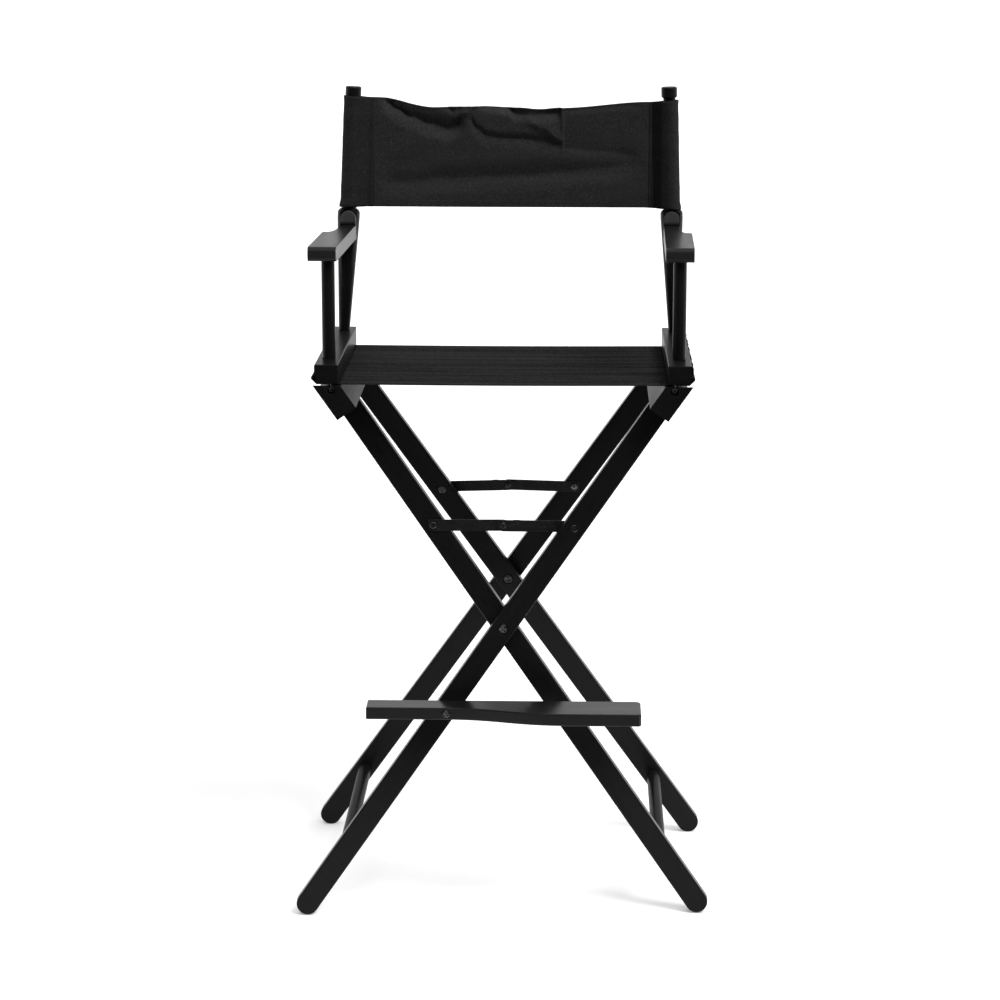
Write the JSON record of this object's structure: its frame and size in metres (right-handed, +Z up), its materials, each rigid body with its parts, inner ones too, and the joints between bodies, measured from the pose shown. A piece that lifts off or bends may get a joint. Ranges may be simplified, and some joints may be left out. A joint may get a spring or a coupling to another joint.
{
  "type": "director chair",
  "caption": "Tall folding wooden director chair: crossed legs, spreader links, turned back posts, canvas seat and back, and a swinging footrest.",
  "frame": {"origin": "on the floor, in the middle of the chair's footprint box", "axes": "+X to the right as seen from the front, +Y from the front to the back, +Z up"},
  "size_m": [0.5778, 0.457, 1.1307],
  "materials": {
    "black_lacquer_wood": "satin black lacquer",
    "plain_wood": "bare beech",
    "black_canvas": "matte heavy cotton duck",
    "black_steel": "satin black"
  },
  "bodies": {
    "rung_left": {"rung_left": "black_lacquer_wood"},
    "outer_frame": {"leg_front_outer": "black_lacquer_wood", "leg_rear_outer": "black_lacquer_wood", "cap_rail_right": "black_lacquer_wood", "cap_dowels_outer": "plain_wood", "hinge_pins_right": "black_steel", "pivot_bolts": "black_steel", "pivot_washers": "black_steel", "link_bolts_outer": "black_steel", "footrest_bolt": "black_steel", "footrest_washer": "black_steel"},
    "inner_frame": {"leg_front_inner": "black_lacquer_wood", "leg_rear_inner": "black_lacquer_wood", "cap_rail_left": "black_lacquer_wood", "cap_dowels_inner": "plain_wood", "hinge_pins_left": "black_steel", "pivot_nuts": "black_steel", "link_bolts_inner": "black_steel", "footrest_peg": "black_steel", "rung_right": "black_lacquer_wood"},
    "left_side": {"seat_rail_left": "black_lacquer_wood", "arm_post_left": "black_lacquer_wood", "back_post_left": "black_lacquer_wood", "armrest_left": "black_lacquer_wood", "arm_screw_left": "black_steel", "eye_screws_left": "black_steel", "seat_dowel_left": "black_lacquer_wood", "seat_canvas": "black_canvas", "back_canvas": "black_canvas"},
    "right_side": {"seat_rail_right": "black_lacquer_wood", "arm_post_right": "black_lacquer_wood", "back_post_right": "black_lacquer_wood", "armrest_right": "black_lacquer_wood", "arm_screw_right": "black_steel", "eye_screws_right": "black_steel", "seat_dowel_right": "black_lacquer_wood"},
    "link_front_outer": {"link_front_outer": "black_steel", "link_rivet_front_outer": "black_steel"},
    "link_rear_outer": {"link_rear_outer": "black_steel", "link_rivet_rear_outer": "black_steel"},
    "link_front_inner": {"link_front_inner": "black_steel", "link_rivet_front_inner": "black_steel"},
    "link_rear_inner": {"link_rear_inner": "black_steel", "link_rivet_rear_inner": "black_steel"},
    "footrest": {"footrest_board": "black_lacquer_wood"}
  },
  "joints": [
    {"name": "leg_fold", "type": "hinge", "parent": "outer_frame", "child": "inner_frame", "pos_m": [0, 0, 0.4052], "axis": [0, 1, 0], "range_deg": [0, 54], "deforming": ["seat_canvas", "back_canvas"]},
    {"name": "rung_turn", "type": "hinge", "parent": "rung_left", "child": "outer_frame", "pos_m": [-0.21967, 0, 0.09207], "axis": [0, 1, 0], "range_deg": [-27, 0]},
    {"name": "seat_hinge_left", "type": "hinge", "parent": "inner_frame", "child": "left_side", "pos_m": [-0.23405, 0, 0.7409], "axis": [0, 1, 0], "range_deg": [-27, 0]},
    {"name": "seat_hinge_right", "type": "hinge", "parent": "outer_frame", "child": "right_side", "pos_m": [0.23405, 0, 0.7409], "axis": [0, 1, 0], "range_deg": [0, 27]},
    {"name": "link_front_outer_turn", "type": "hinge", "parent": "outer_frame", "child": "link_front_outer", "pos_m": [0.0976, -0.11767, 0.54433], "axis": [-0.0506, 0.9961, -0.0721], "range_deg": [0, 102.05]},
    {"name": "link_front_inner_turn", "type": "hinge", "parent": "inner_frame", "child": "link_front_inner", "pos_m": [-0.0976, -0.11435, 0.54433], "axis": [0.0506, 0.9961, -0.0721], "range_deg": [-102.05, 0]},
    {"name": "link_rear_outer_turn", "type": "hinge", "parent": "outer_frame", "child": "link_rear_outer", "pos_m": [0.0976, 0.15195, 0.54433], "axis": [0.0506, 0.9961, 0.0721], "range_deg": [0, 102.05]},
    {"name": "link_rear_inner_turn", "type": "hinge", "parent": "inner_frame", "child": "link_rear_inner", "pos_m": [-0.0976, 0.14863, 0.54433], "axis": [-0.0506, 0.9961, 0.0721], "range_deg": [-102.05, 0]},
    {"name": "footrest_swing", "type": "hinge", "parent": "outer_frame", "child": "footrest", "pos_m": [-0.0767, -0.16312, 0.2935], "axis": [0, -0.9942, 0.1073], "range_deg": [0, 55]}
  ],
  "couplings": [
    {"joint": "rung_turn", "follows": "leg_fold", "ratio": -0.5},
    {"joint": "seat_hinge_left", "follows": "leg_fold", "ratio": -0.5},
    {"joint": "seat_hinge_right", "follows": "leg_fold", "ratio": 0.5},
    {"joint": "link_front_outer_turn", "follows": "leg_fold", "ratio": 1.8896},
    {"joint": "link_front_inner_turn", "follows": "leg_fold", "ratio": -1.8896},
    {"joint": "link_rear_outer_turn", "follows": "leg_fold", "ratio": 1.8896},
    {"joint": "link_rear_inner_turn", "follows": "leg_fold", "ratio": -1.8896}
  ]
}
